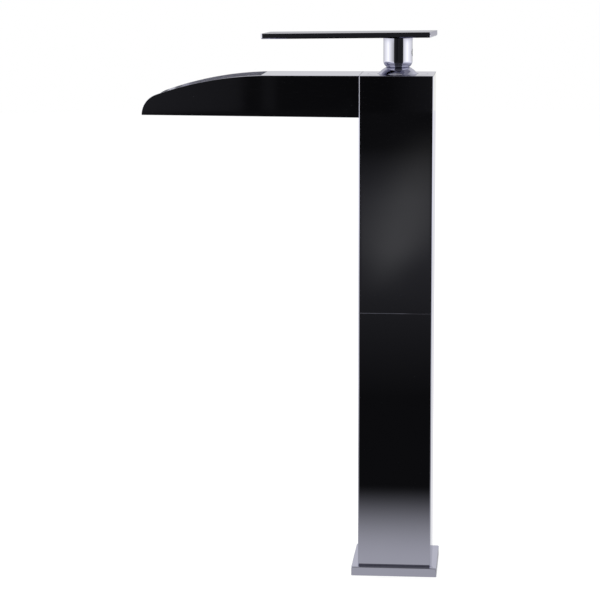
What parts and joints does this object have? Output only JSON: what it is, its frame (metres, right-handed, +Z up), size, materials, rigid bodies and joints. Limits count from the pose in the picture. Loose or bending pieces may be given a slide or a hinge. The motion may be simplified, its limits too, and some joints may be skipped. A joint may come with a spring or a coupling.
{
  "type": "waterfall basin faucet",
  "caption": "Tall square column basin mixer with an open waterfall trough spout and a flat lever that lifts and swivels on a ball over a ceramic disc cartridge.",
  "frame": {"origin": "on the deck, at the middle of the base plate's hose opening, under the column's axis", "axes": "+Z up along the column, spout along -X, hot side +Y and cold side -Y for a user who stands in front of the spout and faces +X"},
  "size_m": [0.1713, 0.05, 0.3172],
  "materials": {
    "chrome": "polished",
    "brass": "machined",
    "copper": "drawn copper tube",
    "steel": "satin",
    "rubber": "matt black",
    "plastic": "moulded",
    "ceramic": "lapped ceramic"
  },
  "bodies": {
    "body": {"base_plate": "chrome", "base_gasket": "rubber", "mounting_block": "brass", "base_screws": "steel", "tie_bolts": "steel", "spout_screws": "steel", "lower_column": "chrome", "joint_sleeve": "brass", "upper_body": "chrome", "riser_tube_hot": "copper", "riser_tube_cold": "copper", "riser_seals": "rubber", "valve_body": "brass", "outlet_seal": "rubber", "cartridge_housing": "plastic", "cartridge_base": "plastic", "port_seals": "rubber", "fixed_disc": "ceramic", "retaining_nut": "brass", "bonnet_ring": "chrome", "glide_ring": "plastic", "spout_trough": "chrome", "spout_gasket": "rubber", "spout_cover": "chrome", "flow_baffle": "steel"},
    "swivel": {"rotor": "plastic", "pivot_pin": "steel"},
    "lever": {"stem": "steel", "ball_cap": "chrome", "lever_hub": "chrome", "lever_plate": "chrome", "set_screw": "steel"},
    "disc": {"moving_disc": "ceramic", "disc_carrier": "plastic"}
  },
  "joints": [
    {"name": "swivel", "type": "hinge", "parent": "body", "child": "swivel", "pos_m": [0, 0, 0.2838], "axis": [0, 0, 1], "range_deg": [-38.5, 51.5]},
    {"name": "lift", "type": "hinge", "parent": "swivel", "child": "lever", "pos_m": [0, 0, 0.2838], "axis": [0.1132, 0.9936, 0], "range_deg": [0, 20]},
    {"name": "disc_slide", "type": "slide", "parent": "swivel", "child": "disc", "axis": [-0.9936, 0.1132, 0], "range_m": [0, 0.0042]}
  ],
  "couplings": [
    {"joint": "disc_slide", "follows": "lift", "m_per_rad": 0.012}
  ]
}
